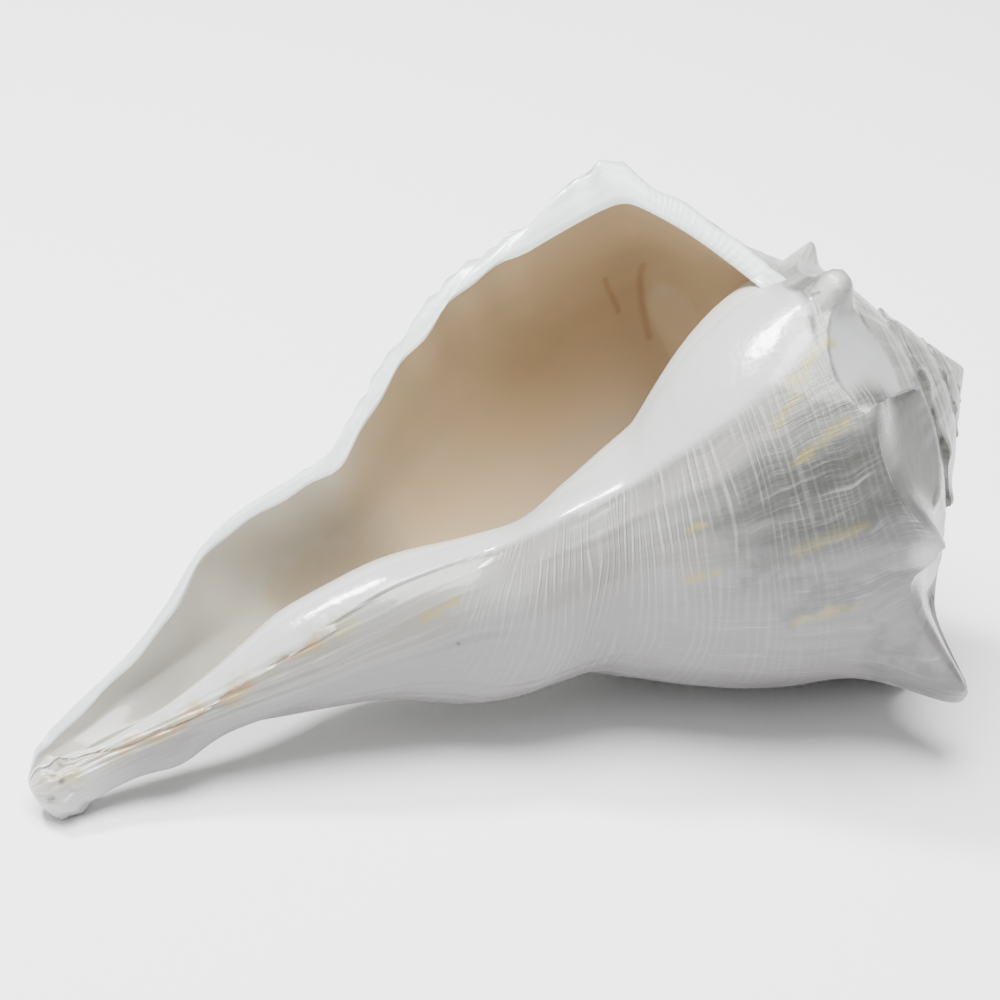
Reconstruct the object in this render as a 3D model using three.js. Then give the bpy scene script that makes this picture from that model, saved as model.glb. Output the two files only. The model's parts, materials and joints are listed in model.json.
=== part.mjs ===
// A large left-handed whelk shell, ground flat along its lip, lying on its back with the mouth turned up.
// The shell is one closed solid: the whorls, the chamber inside the last of them, and the flat lip between.
// Millimetres, +Z up. The origin is on the ground under the middle of the shell, which lies with its
// spire towards +X and its canal towards -X.
import * as THREE from "three";

// The shell is worked out round its own axis. Depth is measured along the axis from the apex towards the
// canal. Growth angles are in degrees: 0 where the lip meets the whorl before it, less than 0 earlier on.
const GROWTH = 1.97; // how many times bigger the shell gets in one turn
const TURNS = 4.6;
const SHOULDER_RADIUS = 72.7; // at growth angle 0, as every size below that grows
const SHOULDER_DEPTH = 50;
const TIP_DEPTH = 213;
const TIP_ROUNDING = 4;

// Radius of the body and of the canal wall against depth, at growth angle 0.
const BODY = [
  [50, 71.8], [68, 71.8], [84, 69.3], [99, 64], [115, 55.6], [131, 45.2], [144, 37.6], [165, 35.4],
  [176, 32.4], [190, 24], [203, 17.6], [220, 12.5], [231, 8.5], [245, 0],
];
// The columella, which doesn't grow with the whorls: its radius against depth, and how far it leans.
const COLUMELLA = [
  [30, 7], [60, 6], [95, 7], [112, 10.5], [129, 12.6], [140, 11.4], [152, 9.9], [162, 7.9], [172, 6],
  [184, 4.6], [196, 4.4], [205, 5.6], [TIP_DEPTH, 7],
];
const COLUMELLA_LEAN = [
  [112, 0], [129, 0.9], [140, 1.8], [152, 2.2], [160, 1.4], [172, 0.1], [184, -1.1], [196, -2.2],
];
const LEAN_TOWARDS = -30;
const COLUMELLA_MOST = 0.6; // the columella's widest share of the shoulder's radius, which counts on the spire
// Beside the mouth the body is slimmer than it grows elsewhere, from the angle "from" backwards.
const WAIST = { amount: 3.4, depth: 86, reach: 13, from: -312, length: 35 };
const LIP_FLARE = 0.15; // how much wider the body is at the lip, from FLARE_DEPTH downwards
const FLARE_DEPTH = 60;
const FLARE_LENGTH = 60;
const NUCLEUS = { radius: 0.1, depth: 0.15 }; // where the first turn starts, as shares of where it would sew on

// Each whorl sews on to the one before a little below its shoulder: at first by SEAM_ON_SPIRE of the
// shoulder's depth, and by SEAM_ON_BODY on the last turns.
const SEAM_ON_SPIRE = 1.03;
const SEAM_ON_BODY = 1.22;
const SEAM_FALL = { start: -660, length: 300 };
const RAMP_SWELL = 0.035; // how far the ramp above the shoulder bulges, against the shoulder's radius
const LIP_RAMP_SWELL = 0.005;

// The ground lip lies in one plane. The plane's distance from the axis grows towards the apex.
const LIP_PLANE = { distance: 37.5, slope: -0.1725, turn: 61.5, steepest: 0.95 };
const LIP_BLEND = 120; // degrees before the lip over which the growth lines swing into that plane
const LIP_WALL = 5.5;
const CANAL_WALL = 2.6; // the lip's wall narrows to this from BELLY_DEPTH to CANAL_DEPTH
const BELLY_DEPTH = 110;
const CANAL_DEPTH = 165;
const LIP_THICKENING = 60; // degrees before the lip over which the wall thickens
const WALL = 2.4;
const WALL_SHARE = 0.42; // where there is little room, the wall takes no more than this much of it
const SEAM_WALL = 1.6; // how many times WALL the shell is thick under a seam
const LIP_SEAM_WALL = 3.5; // and how much thicker at the lip

// Spines on the shoulder: angle, height, half-width in degrees, depth below the shoulder, share out, share up.
const SPINES = [
  [-40, 5.9, 15, 9, 1, 0], [-74, 8, 11, 0, 0.9, 0.35], [-110, 9, 11, 0, 0.9, 0.35],
  [-148, 10.5, 12, 2, 0.9, 0.35], [-188, 10.5, 12, 3, 0.9, 0.35], [-224, 16.5, 13, 5, 0.95, 0.25],
  [-263, 8, 8, 0, 0.9, 0.3], [-302, 2.5, 9, 0, 0.9, 0.3], [-343, 3.5, 8, 1, 0.7, 0.6],
  [-384, 5.5, 9, 0, 0.4, 0.8],
];
const KNOB_STEP = 40; // earlier spines are small knobs, one every so many degrees
const KNOB = [4.7, 9, 0, 0.9, 0.3]; // the same for these, with the height at full size
const SPINE_FOOT = 15; // how far a spine reaches down the body, and up the ramp
const SPINE_BACK = 8;
const LIP_SPINE_REACH = 9.5; // the spine on the lip is a low plateau that reaches this far both ways
const SPINE_TOP = 1.15; // more than 1 gives a spine a blunt top
const SPINE_SIDES = 1.7;
const HOLLOW_SHARE = 0.4; // a spine is hollow behind for this share of its height
const HOLLOW_REACH = 13;
// Between each two spines the shoulder is worn to a flat: the way it faces, its tilt above level, and its bite.
const FLATS = [
  [-57, 38, 2.5], [-92, 38, 3.5], [-129, 38, 3.5], [-168, 38, 3.5], [-206, 38, 3.5], [-244, 41, 5],
  [-289, 48, 4.5], [-316, 28, 5], [-364, 38, 2.5],
];

// The chamber ends in a rounded floor that runs down into the open canal over the last part of its turn.
const CHAMBER_TURNS = 1.3;
const FLOOR_DEPTH = 172;
const FLOOR_ROUNDING = 0.3; // how much of the chamber's height the rounding of its floor takes
const TIP_FLOOR_ROUNDING = 4;
const ROUNDING_TURN = 80; // degrees before the lip over which the rounding becomes TIP_FLOOR_ROUNDING
const CANAL_TURN = 230;
const CANAL_FALL = 0.85; // less than 1 lets the floor fall more steeply at the end

// How the shell lies: turned round its axis, then with the apex raised.
const ROLL = 4.4;
const TILT = 16.8;
const WEAR = 1; // height worn off the points that it lies on

// Steps of the mesh: rows in one turn, and columns down one row.
const ROWS = 45;
const RAMP = 5;
const FLANK = 2;
const BELOW = 18;
const ATTACH = RAMP + FLANK; // the column where the next whorl sews on
const INSIDE = ATTACH + 1; // the column where the chamber's wall begins
const LAST = INSIDE + BELOW;
const SHOULDER_END = RAMP + 3; // the last column that is rounded off in the chamber
const CROWDING = 1.5; // how much shorter the steps get towards the lower end of a row

const radians = THREE.MathUtils.degToRad;
const clamp = THREE.MathUtils.clamp;
const lerp = THREE.MathUtils.lerp;
const ease = (x) => THREE.MathUtils.smoothstep(x, 0, 1);
const size = (angle) => GROWTH ** (angle / 360);
const bell = (x, power) => Math.exp(-(Math.abs(x) ** power));

// A smooth curve through points whose first value rises. It never swings past its points.
function through(points, x) {
  const steps = points.slice(1).map((p, k) => (p[1] - points[k][1]) / (p[0] - points[k][0]));
  const slopes = points.map((p, k) => {
    if (k === 0 || k === steps.length) return steps[Math.min(k, steps.length - 1)];
    return steps[k - 1] * steps[k] <= 0 ? 0 : 2 / (1 / steps[k - 1] + 1 / steps[k]);
  });
  const at = clamp(x, points[0][0], points[points.length - 1][0]);
  const k = Math.min(points.filter((p) => p[0] <= at).length, steps.length) - 1;
  const width = points[k + 1][0] - points[k][0];
  const t = (at - points[k][0]) / width;
  const level = points[k][1] * (1 + 2 * t) * (1 - t) ** 2 + points[k + 1][1] * t * t * (3 - 2 * t);
  return level + width * t * (1 - t) * (slopes[k] * (1 - t) - slopes[k + 1] * t);
}

const place = (angle, radius, depth) =>
  new THREE.Vector3(radius * Math.cos(radians(angle)), radius * Math.sin(radians(angle)), -depth);

// The lip's share of a row: 1 at the lip, 0 from LIP_BLEND before it.
const lipShare = (angle) => ease(1 + angle / LIP_BLEND);

// How far round the axis a point of a row is swung, so that the last row lies in the lip's plane.
function azimuth(angle, radius, depth) {
  const { distance, slope, turn, steepest } = LIP_PLANE;
  const sine = clamp((distance + slope * depth) / radius, -steepest, steepest);
  return angle + lipShare(angle) * (THREE.MathUtils.radToDeg(Math.asin(sine)) - turn);
}

// The smooth outside below the shoulder: the grown body merged with the columella.
function bodyRadius(angle, depth) {
  const grown = size(angle);
  const flare = 1 + LIP_FLARE * lipShare(angle) * ease((depth / grown - FLARE_DEPTH) / FLARE_LENGTH);
  const slimmer = WAIST.amount * ease((WAIST.from - angle) / WAIST.length);
  const waist = slimmer * bell((depth - WAIST.depth) / WAIST.reach, 2);
  const body = Math.max(grown * flare * through(BODY, depth / grown) - waist, 0);
  const lean = through(COLUMELLA_LEAN, depth) * Math.cos(radians(angle - LEAN_TOWARDS));
  const columella = Math.min(through(COLUMELLA, depth) + lean, COLUMELLA_MOST * SHOULDER_RADIUS * grown);
  const end = Math.sqrt(clamp((TIP_DEPTH - depth) / TIP_ROUNDING, 0, 1));
  return end * (body ** 4 + columella ** 4) ** 0.25;
}

// The same on a row that may be swung towards the lip's plane.
function rowRadius(angle, depth) {
  return bodyRadius(azimuth(angle, bodyRadius(angle, depth), depth), depth);
}

// A row's shoulder, and the place just under it where the next whorl sews on. On the spire that is at the
// shoulder itself, and on the last turn it is lower.
function shoulderOf(angle) {
  const first = size(angle);
  const swung = azimuth(angle, SHOULDER_RADIUS * first, SHOULDER_DEPTH * first);
  const grown = size(swung);
  return { angle: swung, grown, radius: SHOULDER_RADIUS * grown, depth: SHOULDER_DEPTH * grown };
}
function attachDepth(shoulder) {
  const fallen = ease((shoulder.angle - SEAM_FALL.start) / SEAM_FALL.length);
  return shoulder.depth * lerp(SEAM_ON_SPIRE, SEAM_ON_BODY, fallen);
}

// Steps down a row: shorter towards its lower end, where it curves in.
const crowded = (share) => 1 - (1 - share) ** CROWDING;

// Depth of the chamber's floor. At the lip it reaches the tip, so that the canal is open all the way.
function floorDepth(angle) {
  const closed = size(angle) * FLOOR_DEPTH;
  return lerp(closed, TIP_DEPTH, clamp(1 + angle / CANAL_TURN, 0, 1) ** CANAL_FALL);
}

function allSpines() {
  const knobs = [];
  const [height, ...shape] = KNOB;
  for (let angle = SPINES.at(-1)[0] - KNOB_STEP; angle > -360 * TURNS; angle -= KNOB_STEP)
    knobs.push([angle, height * size(angle), ...shape]);
  return [...SPINES, ...knobs];
}
const EVERY_SPINE = allSpines();

// How far the spines push a point out and up. below is its distance under the shoulder, at full size.
function spinePush(angle, below) {
  const push = { out: 0, up: 0 };
  EVERY_SPINE.forEach(([at, height, width, drop, out, up], k) => {
    const ridge = Math.min(1, SPINE_TOP * bell((angle - at) / width, SPINE_SIDES));
    const under = below - drop;
    const atLip = bell(under / LIP_SPINE_REACH, 4);
    const reach = k === 0 ? atLip : bell(under / (under > 0 ? SPINE_FOOT : SPINE_BACK), 2);
    push.out = Math.max(push.out, out * height * ridge * reach);
    push.up = Math.max(push.up, up * height * ridge * reach);
  });
  return push;
}

// Presses a point of the shoulder down to the flat between the two spines beside it, or further inside.
function wearShoulder(point, angle, inside = 0) {
  const k = SPINES.findIndex((spine, n) => n > 0 && spine[0] < angle) - 1;
  if (k < 0 || angle >= SPINES[0][0]) return;
  const [turn, tilt, bite] = FLATS[k];
  const grown = size(turn);
  const corner = place(turn, SHOULDER_RADIUS * grown, SHOULDER_DEPTH * grown);
  const facing = place(turn, Math.cos(radians(tilt)), -Math.sin(radians(tilt)));
  const proud = facing.dot(point) - facing.dot(corner) + bite * Math.sqrt(grown) + inside;
  if (proud > 0) point.addScaledVector(facing, -proud);
}

// The straight ramp from the seam to the shoulder, swelling a little on the spire.
function rampPoint(seam, shoulder, share, angle) {
  const swell = SHOULDER_RADIUS * shoulder.grown * lerp(RAMP_SWELL, LIP_RAMP_SWELL, ease(1 + angle / 360));
  const depth = lerp(seam.depth, shoulder.depth, share) - swell * Math.sin(Math.PI * share);
  return { radius: lerp(seam.radius, shoulder.radius, share), depth };
}

// One row of the outside, as radius and depth, from the seam down to the tip or the chamber's floor.
function outerRow(angle, seam) {
  const shoulder = shoulderOf(angle);
  const row = [];
  for (let j = 0; j <= RAMP; j++) row.push(rampPoint(seam, shoulder, j / RAMP, angle));
  const attach = attachDepth(shoulder);
  for (let j = 1; j < FLANK; j++) {
    const depth = lerp(shoulder.depth, attach, j / FLANK);
    row.push({ radius: lerp(shoulder.radius, rowRadius(angle, attach), j / FLANK), depth });
  }
  row.push({ radius: rowRadius(angle, attach), depth: attach });
  const covered = angle <= -360;
  const thick = SEAM_WALL * WALL * shoulder.grown + (covered ? LIP_SEAM_WALL * lipShare(angle + 360) : 0);
  const bottom = covered ? floorDepth(angle + 360) : TIP_DEPTH;
  for (let j = 0; j <= BELOW; j++) {
    const depth = lerp(attach + thick, bottom, crowded(j / BELOW));
    row.push({ radius: rowRadius(angle, depth), depth });
  }
  return { angle, shoulder, seam, row };
}

// Places a row's points, with the flats and the spines of the shoulder.
function placeOuter({ angle, shoulder, row }) {
  return row.map(({ radius, depth }, j) => {
    const swung = azimuth(angle, radius, depth);
    const point = place(swung, radius, depth);
    if (j <= ATTACH || angle > -360) wearShoulder(point, swung);
    const away = Math.hypot(radius - shoulder.radius, depth - shoulder.depth);
    const below = j <= RAMP ? -away : depth - shoulder.depth;
    const push = spinePush(swung, below / shoulder.grown);
    return point.add(place(swung, push.out, -push.up));
  });
}

// One row of the chamber's wall, from under the seam round to the columella.
function chamberRow({ angle, shoulder, seam }, start, end) {
  const top = RAMP + 1;
  const grown = shoulder.grown;
  const wallAt = (depth) => {
    const atLip = lerp(LIP_WALL, CANAL_WALL, ease((depth - BELLY_DEPTH) / (CANAL_DEPTH - BELLY_DEPTH)));
    return lerp(WALL, atLip, ease(1 + angle / LIP_THICKENING)) * (0.5 + 0.5 * grown);
  };
  const bottom = floorDepth(angle);
  const bulge = HOLLOW_SHARE * spinePush(shoulder.angle, 0).out;
  const outside = [];
  for (let j = 0; j <= LAST; j++) {
    const depth = lerp(shoulder.depth, bottom, crowded((j - top) / (LAST - top)));
    const lower = { radius: rowRadius(angle, depth), depth };
    const point = j <= top ? rampPoint(seam, shoulder, j / top, angle) : lower;
    point.radius += bulge * bell((point.depth - shoulder.depth) / (HOLLOW_REACH * grown), 2);
    outside.push(point);
  }
  const openness = ease(1 + angle / ROUNDING_TURN);
  const rounding = lerp(FLOOR_ROUNDING * (bottom - shoulder.depth), TIP_FLOOR_ROUNDING, openness);
  const row = outside.map(({ radius, depth }, j) => {
    if (j > top) {
      const core = bodyRadius(angle - 360, depth);
      const room = Math.max(radius - core, 0.1);
      const rise = clamp((bottom - depth) / rounding, 0, 1);
      const hollow = room - Math.min(wallAt(depth), WALL_SHARE * room);
      return { radius: core + hollow * Math.sqrt(1 - (1 - rise) ** 2), depth };
    }
    const before = outside[Math.max(j - 1, 0)];
    const after = outside[j + 1];
    const inwards = wallAt(depth) / Math.hypot(after.radius - before.radius, after.depth - before.depth);
    return {
      radius: radius - inwards * (after.depth - before.depth),
      depth: depth + inwards * (after.radius - before.radius),
    };
  });
  const shift = { radius: start.radius - row[0].radius, depth: start.depth - row[0].depth };
  row.forEach((point, j) => {
    const share = clamp(1 - j / RAMP, 0, 1) ** 2;
    point.radius += shift.radius * share;
    point.depth += shift.depth * share;
  });
  row[LAST] = end;
  return roundOff(roundOff(roundOff(row)));
}

// Averages the upper points with their neighbours, so that the chamber's shoulder becomes round.
function roundOff(row) {
  const mean = (key, j) => (row[j - 1][key] + 2 * row[j][key] + row[j + 1][key]) / 4;
  return row.map((point, j) => {
    if (j === 0 || j > SHOULDER_END) return point;
    return { radius: mean("radius", j), depth: mean("depth", j) };
  });
}

const corners = [];
function triangle(a, b, c) {
  if (a !== b && b !== c && c !== a) corners.push(a, b, c);
}
function quad(a, b, c, d) {
  triangle(a, b, c);
  triangle(a, c, d);
}
function fan(ring, centre) {
  ring.forEach((point, k) => triangle(ring.at(k - 1), point, centre));
}
const middleOf = (points) =>
  points.reduce((sum, point) => sum.add(point), new THREE.Vector3()).divideScalar(points.length);

// The outside, row by row. Each row's first point is the point of the row one turn before it that it
// sews on to, and all the rows of the last turn end in the one point of the canal's tip.
const rowCount = Math.round(TURNS * ROWS);
const chamberCount = Math.round(CHAMBER_TURNS * ROWS);
const profiles = [];
const outer = [];
const tip = place(0, 0, TIP_DEPTH);
for (let i = 0; i <= rowCount; i++) {
  const angle = ((i - rowCount) * 360) / ROWS;
  const before = profiles[i - ROWS];
  const start = attachDepth(shoulderOf(angle)) / GROWTH;
  const first = { radius: NUCLEUS.radius * rowRadius(angle, start), depth: NUCLEUS.depth * start };
  const seam = before ? before.row[ATTACH] : first;
  const profile = outerRow(angle, seam);
  const row = placeOuter(profile);
  if (before) {
    const sewn = outer[i - ROWS][ATTACH];
    const shift = sewn.clone().sub(row[0]);
    row.forEach((point, j) => point.addScaledVector(shift, clamp(1 - j / RAMP, 0, 1) ** 3));
    row[0] = sewn;
  }
  if (angle > -360) row[LAST] = tip;
  profiles.push(profile);
  outer.push(row);
}
outer[rowCount - ROWS][LAST] = tip;

// The chamber's outer wall. Its inner wall is the lower part of the outside one turn before.
const chamber = [];
for (let i = rowCount - chamberCount; i <= rowCount; i++) {
  const inner = profiles[i - ROWS].row;
  const row = chamberRow(profiles[i], inner[INSIDE], inner[LAST]).map(({ radius, depth }) => {
    const swung = azimuth(profiles[i].angle, Math.max(radius, 0.01), depth);
    const point = place(swung, radius, depth);
    wearShoulder(point, swung, WALL);
    return point;
  });
  row[0] = outer[i - ROWS][INSIDE];
  row[LAST] = outer[i - ROWS][LAST];
  chamber.push(row);
}

// The skin: the outside where nothing covers it, then the chamber, the lip and the two closed ends.
const firstInner = rowCount - chamberCount - ROWS;
for (let i = 0; i < rowCount; i++)
  for (let j = 0; j < LAST; j++) {
    const covered = i + 1 <= rowCount - ROWS && j >= ATTACH;
    if (covered && (j < INSIDE || i < firstInner)) continue;
    quad(outer[i][j], outer[i][j + 1], outer[i + 1][j + 1], outer[i + 1][j]);
  }
for (let n = 0; n < chamberCount; n++)
  for (let j = 0; j < LAST; j++)
    quad(chamber[n][j], chamber[n + 1][j], chamber[n + 1][j + 1], chamber[n][j + 1]);
const lip = outer[rowCount];
for (let j = 0; j < LAST; j++)
  quad(lip[j], lip[j + 1], chamber[chamberCount][j + 1], chamber[chamberCount][j]);
const deepEnd = [...chamber[0], ...outer[firstInner].slice(INSIDE + 1, LAST).reverse()];
fan(deepEnd, middleOf(deepEnd));
const nucleus = outer.slice(0, ROWS).map((row) => row[0]);
fan([...nucleus, ...outer[0].slice(1, ATTACH + 1).reverse()], middleOf(nucleus));

// Lays the shell down, wears small flats where it meets the ground, and sets the origin under its middle.
const points = [...new Set(corners)];
const lying = new THREE.Euler(Math.PI, Math.PI / 2 + radians(TILT), -radians(ROLL));
points.forEach((point) => point.applyEuler(lying));
const box = new THREE.Box3().setFromPoints(points);
const origin = box.getCenter(new THREE.Vector3()).setZ(box.min.z + WEAR);
points.forEach((point) => {
  point.sub(origin);
  point.z = Math.max(point.z, 0);
});

const geometry = new THREE.BufferGeometry().setFromPoints(corners);
const material = new THREE.MeshStandardMaterial({ color: 0xe9e6df, roughness: 0.35, metalness: 0 });
const shell = new THREE.Mesh(geometry, material);
shell.name = "shell";

export default new THREE.Group().add(shell);
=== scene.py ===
"""A large white left-handed whelk shell, lying on its back on a pale studio floor.

The shell is worked out row by row, as it grew. A row is one growth line, from the seam with the turn before
it down to the tip of the canal. The shell's own axis is Z, with the apex at the origin, and depth is measured
down from the apex. Angles are in degrees round that axis: 0 where the lip ends, less than 0 earlier on.
Lengths in this script are millimetres until the finished mesh is laid in the frame, in metres.
"""
import json
import math

import bpy
import numpy as np
from mathutils import Matrix, Vector

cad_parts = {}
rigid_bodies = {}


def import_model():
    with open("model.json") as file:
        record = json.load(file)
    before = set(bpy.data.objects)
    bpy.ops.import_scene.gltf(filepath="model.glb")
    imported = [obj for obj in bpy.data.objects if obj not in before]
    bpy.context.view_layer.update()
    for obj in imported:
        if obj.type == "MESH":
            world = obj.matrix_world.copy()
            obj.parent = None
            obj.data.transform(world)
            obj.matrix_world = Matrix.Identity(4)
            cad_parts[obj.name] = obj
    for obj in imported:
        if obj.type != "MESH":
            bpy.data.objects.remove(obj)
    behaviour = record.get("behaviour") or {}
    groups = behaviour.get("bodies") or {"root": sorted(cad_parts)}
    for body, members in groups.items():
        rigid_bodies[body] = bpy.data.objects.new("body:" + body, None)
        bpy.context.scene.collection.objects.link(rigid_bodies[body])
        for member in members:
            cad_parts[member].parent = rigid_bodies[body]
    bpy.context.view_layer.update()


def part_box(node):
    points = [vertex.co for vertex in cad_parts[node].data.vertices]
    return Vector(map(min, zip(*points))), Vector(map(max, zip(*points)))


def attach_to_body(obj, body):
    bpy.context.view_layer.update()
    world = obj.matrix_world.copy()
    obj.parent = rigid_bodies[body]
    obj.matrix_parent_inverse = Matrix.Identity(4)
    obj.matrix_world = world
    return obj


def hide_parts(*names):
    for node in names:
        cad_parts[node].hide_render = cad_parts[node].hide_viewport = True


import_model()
bpy.ops.object.select_all(action="DESELECT")

# ---------------------------------------------------------------- the shell's growth
GROWTH = 1.97  # how many times bigger the shell gets in one turn
TURNS = 4.6
SHOULDER_RADIUS = 72.7
SHOULDER_DEPTH = 50
TIP_DEPTH = 213
TIP_ROUNDING = 4
# The outside as depth and radius: the body under the shoulder at full size, and the columella, which leans.
BODY = [
    (50, 71.8), (68, 71.8), (84, 69.3), (99, 64), (115, 55.6), (131, 45.2), (144, 37.6), (165, 35.4),
    (176, 32.4), (190, 24), (203, 17.6), (220, 12.5), (231, 8.5), (245, 0),
]
COLUMELLA = [
    (30, 7), (60, 6), (95, 7), (112, 10.5), (129, 12.6), (140, 11.4), (152, 9.9), (162, 7.9), (172, 6),
    (184, 4.6), (196, 4.4), (205, 5.6), (TIP_DEPTH, 7),
]
COLUMELLA_LEAN = [
    (112, 0), (129, 0.9), (140, 1.8), (152, 2.2), (160, 1.4), (172, 0.1), (184, -1.1), (196, -2.2),
]
LEAN_TOWARDS = -30
COLUMELLA_MOST = 0.6  # against the shoulder's radius
MERGING = 4  # how sharply the body and the columella merge
# Beside the mouth the shell is slimmer: by how much, at which depth, its reach, from which angle, its length.
WAIST = (3.4, 86, 13, -312, 35)
# The first turn starts this far from the axis and the apex, against its own radius and seam depth.
NUCLEUS_RADIUS = 0.1
NUCLEUS_DEPTH = 0.15
# Where a turn sews on to the one before, against the shoulder's depth, and where that changes and how slowly.
SEAM_ON_SPIRE = 1.03
SEAM_ON_BODY = 1.22
SEAM_FALL = (-660, 300)
RAMP_SWELL = 0.035  # how far the ramp above the shoulder swells, against the shoulder's radius
LIP_RAMP_SWELL = 0.005
# Towards the lip the body flares, from one depth at full size and over a length.
LIP_FLARE = 0.15
FLARE_DOWN = (60, 60)
LIP_DISTANCE = 37.5  # the ground lip's plane: its distance from the axis, and how that changes with depth
LIP_SLOPE = -0.1725
LIP_TURN = 61.5
LIP_BLEND = 120
STEEPEST = 0.95  # the sine of the steepest swing towards that plane
# Walls: at the lip's belly and canal and their depths, then inside, and where a turn sews on.
LIP_WALL = 5.5
CANAL_WALL = 2.6
BELLY_DEPTH = 110
CANAL_DEPTH = 165
LIP_THICKENING = 60
WALL = 2.4
WALL_SHARE = 0.42  # a wall takes at most this share of the room it stands in
LEAST_ROOM = 0.1
SEAM_WALL = 1.6
LIP_SEAM_WALL = 3.5
NOTHING = 0.01  # millimetres or degrees too small to matter

# Spines: angle, height, half-width in degrees, depth below the shoulder, share out, share up.
# Three are a little lower than the solid's, whose coarser steps cut their tips.
SPINES = [
    (-40, 5.2, 15, 9, 1, 0), (-74, 7.1, 11, 0, 0.9, 0.35), (-110, 9, 11, 0, 0.9, 0.35),
    (-148, 10.5, 12, 2, 0.9, 0.35), (-188, 10.5, 12, 3, 0.9, 0.35), (-224, 16.5, 13, 5, 0.95, 0.25),
    (-263, 7.2, 8, 0, 0.9, 0.3), (-302, 2.5, 9, 0, 0.9, 0.3), (-343, 3.5, 8, 1, 0.7, 0.6),
    (-384, 5.5, 9, 0, 0.4, 0.8),
]
# The small knobs of the spire: degrees between them, and height at full size followed by the rest as above.
KNOB_STEP = 40
KNOB = (5.5, 8, -0.8, 0.9, 0.4)
# How far a spine or a knob reaches down, and up, and how the spine at the lip does it.
SPINE_FOOT = 15
KNOB_FOOT = 1.6
SPINE_BACK = 8
LIP_SPINE_REACH = 9.5
LIP_SPINE_SIDES = 4
SPINE_TOP = 1.15  # a top over 1 is cut blunt
SPINE_SIDES = 1.7
HOLLOW_SHARE = 0.4  # the share of a spine that is hollow inside, and the hollow's reach
HOLLOW_REACH = 13
# The flats worn between the spines: the way each faces, its tilt above level, and its bite.
FLATS = [
    (-57, 38, 2.5), (-92, 38, 3.5), (-129, 38, 3.5), (-168, 38, 3.5), (-206, 38, 3.5), (-244, 41, 5),
    (-289, 48, 4.5), (-316, 28, 5), (-364, 38, 2.5),
]

CHAMBER_TURNS = 1.0  # past what can be seen
FLOOR_DEPTH = 172  # the chamber's floor at full size, and how round it is, deep inside and at the lip
FLOOR_ROUNDING = 0.3
TIP_FLOOR_ROUNDING = 4
ROUNDING_TURN = 80
CANAL_TURN = 230  # the canal opens over the last degrees, at this power
CANAL_FALL = 0.85
CROWDING = 1.5
RAMP_BLEND = 0.9  # the share of the ramp over which the chamber's wall eases into the seam
CORNER_ROUNDS = 40  # rounds of smoothing of the chamber's shoulder

ROLL = 4.4  # how the shell lies: turned round its axis, then with the apex raised, then worn where it rests
TILT = 16.8
WEAR = 1.0

# Relief that the solid doesn't have. Swellings along the growth lines have a length in degrees and a height.
WAVES = [(14.3, 0.15), (8.1, 0.11), (5.3, 0.06)]
WAVES_AT_MOST = 0.7  # they stop growing when the shell has this size
SMOOTHED = 0.85  # the share of them that is gone from the flats and the callus
# The callus beside the mouth ends at these depths and angles. Its edge hardens and then turns ragged further
# down, each from one depth and over a length.
CALLUS_EDGE = [
    (32, -335), (35, -327), (42, -322), (46, -319), (63, -316), (95, -316), (106, -325), (117, -334),
    (133, -333), (150, -319), (166, -314), (177, -300), (189, -302), (199, -322), (206, -340),
]
CALLUS_SLOPES = (6, 1.6)
CALLUS_HARDENS = (95, 40)
CALLUS_RAGGED = (132, 12)
CALLUS_START = 2
CALLUS_HEIGHT = 0.35
# Single lumps: height, angle, reach in degrees, depth, reach, and how steep the sides are.
ROUND_KNOB = (2.3, -340, 6, 26.5, 3.2, 3)
CANAL_LUMP = (2.4, -222, 38, 183, 7, 2)
SEAM_LUMPS = 0.3  # height of the lumps along the canal's seam, its angle and reach, and where they begin
SEAM_ANGLE = -305
SEAM_REACH = 24
SEAM_LUMPS_BEGIN = (138, 14)
TIP_BREAK = (1.0, 206, 4)  # roughness of the broken tip, its depth and reach
TIP_FADE = 3
LIP_END = (0.35, 33, 14)  # the lip is wider towards its upper end: share, depth, reach
LIP_UNEVEN = 0.09  # how unevenly thick the lip's wall is, as a share
# Chips in the lip's outer edge: height, how far back they go, and from which depths they begin and end.
LIP_CHIPS = 0.4
CHIPS_LENGTH = 5
CHIPS_BEGIN = (30, 15)
CHIPS_END = (150, -30)
CHIPPED_AWAY = 1.5  # how much more they go in than out
SHORTEST = 1e-6
FLAT_SHOWS = 0.6  # the shell looks worn flat where it is pressed this far and no spine stands over it
SPINE_SHOWS = (0.3, 1.5)
# The ground lip across, from its outer to its inner edge: share of the width, and how far it is worn back.
LIP_BEVEL = [(0, 0.45), (0.07, 0.12), (0.18, 0), (0.5, 0), (0.82, 0), (0.93, 0.12), (1, 0.45)]

# Steps of the mesh: rows in a turn, closer where the shell shows most, and columns down a row.
FINE_ROWS = (-360, -200, 114)
PLAIN_ROWS = (-200, -40, 62)
LIP_ROWS = (-40, 0, 28)
ROWS = FINE_ROWS[2] + PLAIN_ROWS[2] + LIP_ROWS[2]
RAMP = 26
FLANK = 10
GAP = len(LIP_BEVEL) - 1
BELOW = 80
ATTACH = RAMP + FLANK
INSIDE = ATTACH + GAP
LAST = INSIDE + BELOW
CORNER = RAMP + FLANK // 2  # the last column of the chamber's own ramp


def ease(x):
    x = np.clip(x, 0, 1)
    return x * x * (3 - 2 * x)


def onset(x, start, length):
    """0 up to start, rising smoothly to 1 over a length. A negative length makes it fall instead."""
    return ease((x - start) / length)


def bell(x, power=2):
    return np.exp(-np.abs(x) ** power)


def lerp(a, b, share):
    return a + (b - a) * share


def size(angle):
    return GROWTH ** (angle / 360)


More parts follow.
